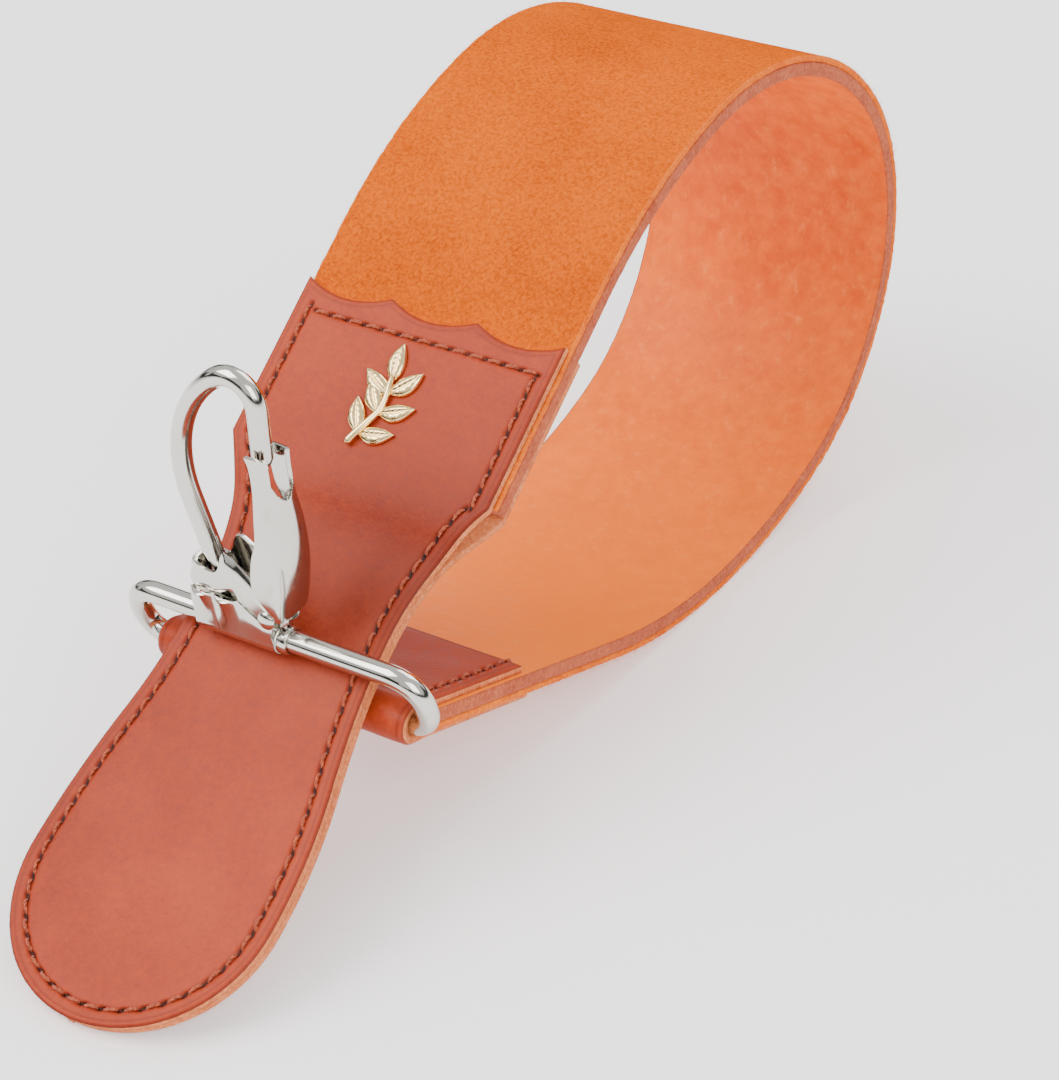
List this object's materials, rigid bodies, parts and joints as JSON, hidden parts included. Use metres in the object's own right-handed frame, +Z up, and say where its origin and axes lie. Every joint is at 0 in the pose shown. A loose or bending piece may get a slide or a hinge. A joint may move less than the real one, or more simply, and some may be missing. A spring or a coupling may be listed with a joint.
{
  "type": "leather strop",
  "caption": "Two-ply hanging strop of suede and smooth leather, curled so its stitched handle passes through a wire ring that carries a sprung snap clip",
  "frame": {"origin": "on the ground under the middle of the object's box, as the curled strop stands on its handle's tip and on the underside of its loop", "axes": "+Z up, +Y from the handle's tip to the far side of the loop, +X across the strap"},
  "size_m": [0.0638, 0.2297, 0.1008],
  "materials": {
    "suede_leather": "napped suede",
    "smooth_leather": "smooth satin",
    "handle_leather": "fine grain, satin, raw edges",
    "thread": "waxed thread",
    "nickel": "polished nickel",
    "gilt": "polished gilt",
    "spring_steel": "bright drawn wire"
  },
  "bodies": {
    "strop": {"strap_suede_ply": "suede_leather", "strap_smooth_ply": "smooth_leather", "handle_face_cover": "handle_leather", "handle_back_cover": "handle_leather", "handle_needle_thread": "thread", "handle_bobbin_thread": "thread", "end_cap": "handle_leather", "cap_needle_thread": "thread", "cap_bobbin_thread": "thread", "sprig_badge": "gilt", "badge_posts": "gilt", "badge_push_nuts": "spring_steel"},
    "ring": {"ring": "nickel"},
    "clip": {"clip_body": "nickel", "hook_wire": "nickel", "gate_pin": "nickel", "gate_spring": "spring_steel"},
    "gate": {"gate": "nickel"}
  },
  "joints": [
    {"name": "ring_swing", "type": "hinge", "parent": "strop", "child": "ring", "pos_m": [0, -0.05184, 0.02989], "axis": [1, 0, 0], "range_deg": [0, 36]},
    {"name": "clip_swing", "type": "hinge", "parent": "ring", "child": "clip", "pos_m": [0, -0.05527, 0.04139], "axis": [1, 0, 0], "range_deg": [-20, 68]},
    {"name": "gate_open", "type": "hinge", "parent": "clip", "child": "gate", "pos_m": [0.0021, -0.05527, 0.04649], "axis": [0, -1, 0], "range_deg": [0, 20], "stiffness_Nm_per_rad": 0.3, "springref_deg": -20.05}
  ]
}
